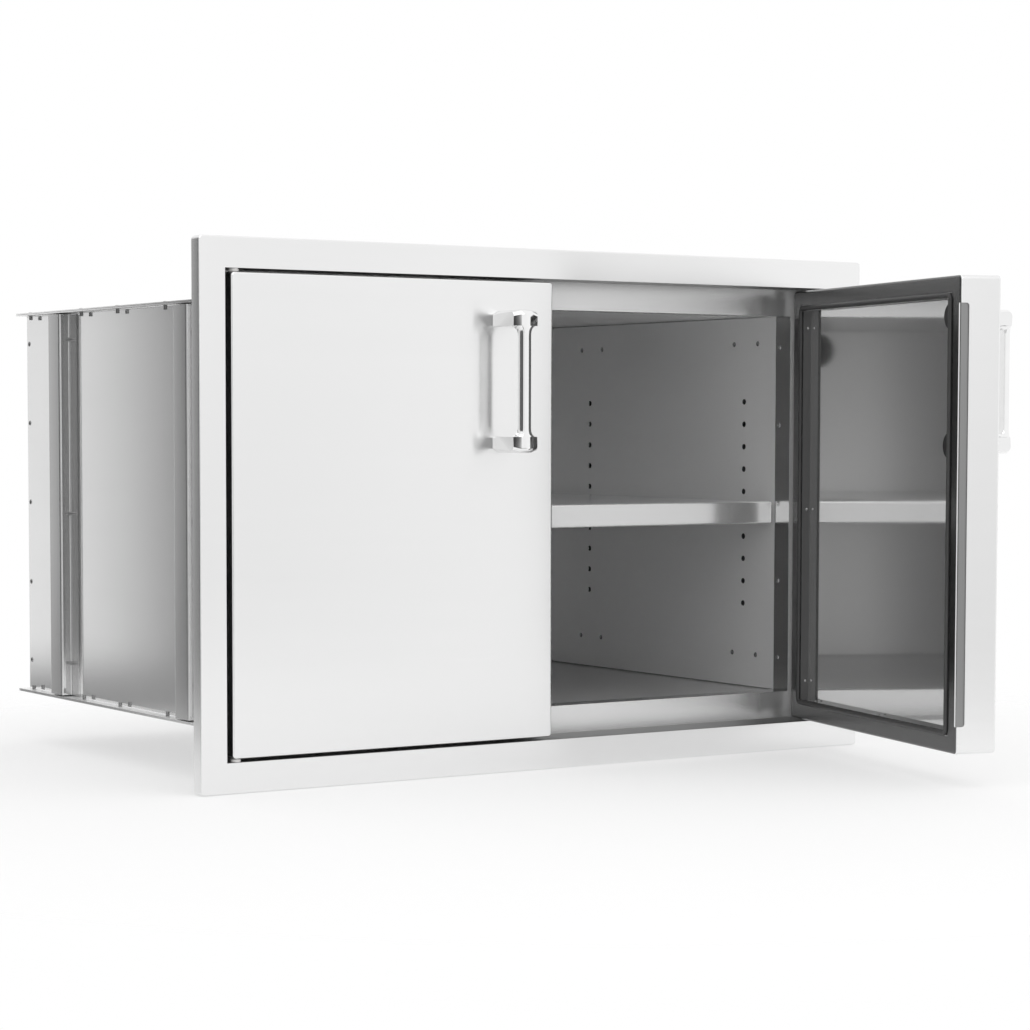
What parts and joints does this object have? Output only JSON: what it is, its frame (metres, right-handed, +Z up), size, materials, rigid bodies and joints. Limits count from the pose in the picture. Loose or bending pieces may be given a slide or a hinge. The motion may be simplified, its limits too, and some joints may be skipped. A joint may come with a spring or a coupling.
{
  "type": "built-in double-door storage cabinet",
  "caption": "Built-in stainless steel dry-storage cabinet with a trim frame, gasketed doors with bow handles, a sheet box behind and a shelf on pins.",
  "frame": {"origin": "on the plane where the trim frame meets the front of the counter, at the middle of the hem along the frame's bottom edge", "axes": "+X to the right as seen from the front, +Y from the doors to the back of the box, +Z up"},
  "size_m": [0.8128, 0.8831, 0.5334],
  "materials": {
    "brushed_steel": "brushed",
    "box_steel": "satin",
    "mirror_steel": "polished",
    "chrome": "polished",
    "zinc_steel": "satin",
    "gasket_rubber": "matte",
    "plug_rubber": "matte",
    "bushing_nylon": "matte"
  },
  "bodies": {
    "cabinet": {"face_frame": "brushed_steel", "stop_frame": "box_steel", "top_panel": "box_steel", "bottom_panel": "box_steel", "left_side_panel": "box_steel", "right_side_panel": "box_steel", "back_panel": "box_steel", "left_front_channel": "zinc_steel", "left_rear_channel": "zinc_steel", "right_front_channel": "zinc_steel", "right_rear_channel": "zinc_steel", "cable_grommet": "plug_rubber", "shelf": "box_steel", "left_front_shelf_pin": "chrome", "left_rear_shelf_pin": "chrome", "right_front_shelf_pin": "chrome", "right_rear_shelf_pin": "chrome", "left_upper_pivot_pin": "zinc_steel", "left_lower_pivot_pin": "zinc_steel", "right_upper_pivot_pin": "zinc_steel", "right_lower_pivot_pin": "zinc_steel"},
    "left_door": {"left_door_pan": "brushed_steel", "left_door_liner": "mirror_steel", "left_door_gasket": "gasket_rubber", "left_handle": "chrome", "left_upper_bushing": "bushing_nylon", "left_lower_bushing": "bushing_nylon", "left_upper_handle_screw": "zinc_steel", "left_lower_handle_screw": "zinc_steel", "left_upper_access_plug": "plug_rubber", "left_lower_access_plug": "plug_rubber"},
    "right_door": {"right_door_pan": "brushed_steel", "right_door_liner": "mirror_steel", "right_door_gasket": "gasket_rubber", "right_handle": "chrome", "right_upper_bushing": "bushing_nylon", "right_lower_bushing": "bushing_nylon", "right_upper_handle_screw": "zinc_steel", "right_lower_handle_screw": "zinc_steel", "right_upper_access_plug": "plug_rubber", "right_lower_access_plug": "plug_rubber"}
  },
  "joints": [
    {"name": "left_door_hinge", "type": "hinge", "parent": "cabinet", "child": "left_door", "pos_m": [-0.3666, -0.0095, 0.2627], "axis": [0, 0, 1], "range_deg": [-110, 0]},
    {"name": "right_door_hinge", "type": "hinge", "parent": "cabinet", "child": "right_door", "pos_m": [0.3666, -0.0095, 0.2627], "axis": [0, 0, 1], "range_deg": [-76.5, 33.5]}
  ]
}
